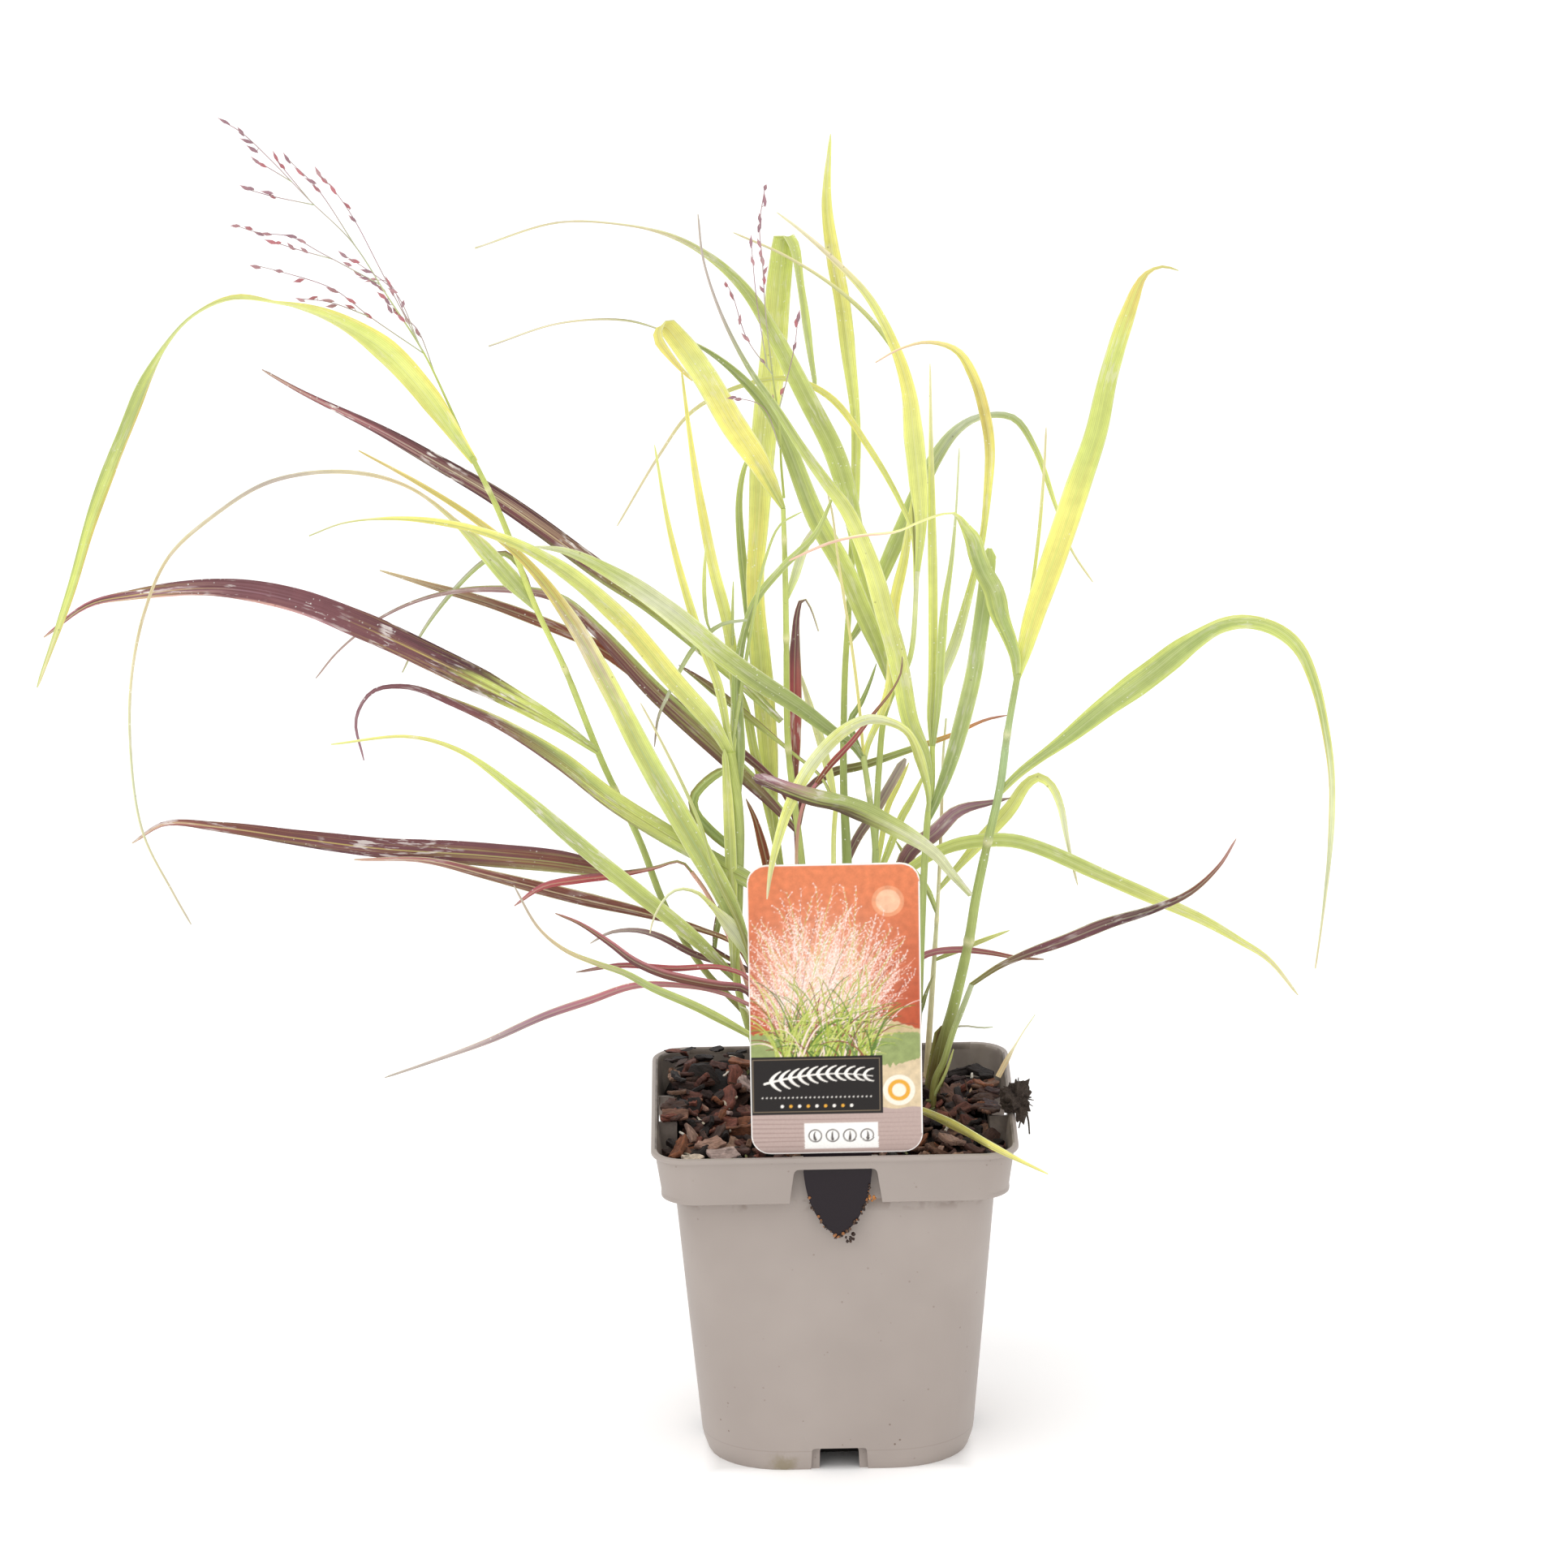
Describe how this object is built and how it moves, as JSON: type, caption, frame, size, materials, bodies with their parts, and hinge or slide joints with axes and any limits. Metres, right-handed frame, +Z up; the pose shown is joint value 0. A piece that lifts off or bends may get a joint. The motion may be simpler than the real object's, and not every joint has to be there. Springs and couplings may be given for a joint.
{
  "type": "potted switchgrass",
  "caption": "Young clump of arching switchgrass with purple-tinged leaves and open flower heads, in a square tapered nursery pot with bark mulch and a push-in plant label.",
  "frame": {"origin": "middle of the flat underside of the pot, which stands on the floor", "axes": "+Z up; the pot's four sides face +X, -X, +Y and -Y; the label stands in the side that faces -Y, the front; most leaves arch towards -X"},
  "size_m": [0.5865, 0.2108, 0.6463],
  "materials": {
    "pot_plastic": "taupe grey polypropylene, satin, a little dusty",
    "potting_soil": "dark crumbly potting compost, matt",
    "bark": "reddish brown pine bark mulch, dry, matt",
    "label_card": "printed plastic card, satin",
    "green_leaf": "mid green leaf blade with parallel veins, satin",
    "yellow_green_leaf": "fresh yellow-green leaf blade with parallel veins, satin",
    "pale_leaf": "pale green leaf blade, satin",
    "purple_leaf": "dark purple leaf blade with parallel veins, satin",
    "red_leaf": "crimson leaf blade, satin",
    "flower_head": "dusty pink flower spikelets, matt",
    "dry_straw": "dry straw, matt"
  },
  "bodies": {
    "root": {"pot": "pot_plastic", "potting_soil": "potting_soil", "bark_mulch": "bark", "plant_label": "label_card", "soil_crumb": "potting_soil", "dry_twig": "dry_straw", "left_flowering_stem": "green_leaf", "left_leafy_stem": "yellow_green_leaf", "front_leaf_shoot": "yellow_green_leaf", "ribbed_leaf_shoot": "yellow_green_leaf", "red_leaf_shoot_left": "red_leaf", "purple_shoot_left_front": "purple_leaf", "purple_shoot_left_back": "purple_leaf", "thread_leaf": "green_leaf", "centre_flowering_stem": "green_leaf", "folded_leaf_shoot": "yellow_green_leaf", "tall_leaf_shoot": "green_leaf", "inner_leafy_stem": "green_leaf", "broad_leaf_stem": "green_leaf", "right_leafy_stem": "yellow_green_leaf", "right_tall_stem": "green_leaf", "thin_back_stem": "pale_leaf", "right_side_shoot": "green_leaf", "red_curved_shoot": "red_leaf", "purple_shoot_centre": "purple_leaf", "pale_leaf_shoot": "pale_leaf", "purple_shoot_right": "purple_leaf", "low_leaf_over_rim": "yellow_green_leaf", "left_purple_leaf": "purple_leaf", "centre_purple_leaf": "purple_leaf", "purple_edged_leaf": "purple_leaf", "right_purple_leaf": "purple_leaf", "left_flower_head": "flower_head", "centre_flower_head": "flower_head"}
  },
  "joints": []
}
